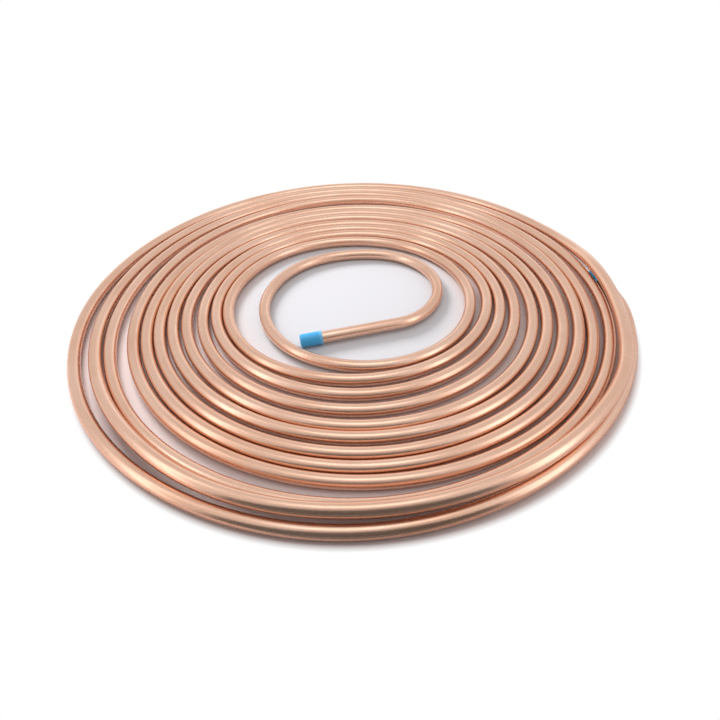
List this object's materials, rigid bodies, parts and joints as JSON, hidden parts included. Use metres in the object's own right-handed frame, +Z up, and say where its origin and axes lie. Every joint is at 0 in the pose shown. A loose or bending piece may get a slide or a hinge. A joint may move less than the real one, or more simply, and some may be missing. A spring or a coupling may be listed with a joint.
{
  "type": "copper tube coil",
  "caption": "Open flat coil of soft copper tube lying on its side, with a plastic push-on cap over each open end.",
  "frame": {"origin": "middle of the coil's footprint, on the floor it lies on", "axes": "+Z up out of the flat coil; +X to the right and +Y away as the coil is seen from its near side, with the straight inner tail running left to right on that near side"},
  "size_m": [0.6206, 0.6194, 0.0282],
  "materials": {
    "copper": "satin",
    "blue_vinyl": "satin"
  },
  "bodies": {
    "root": {"copper_tube": "copper", "inner_end_cap": "blue_vinyl", "outer_end_cap": "blue_vinyl"}
  },
  "joints": []
}
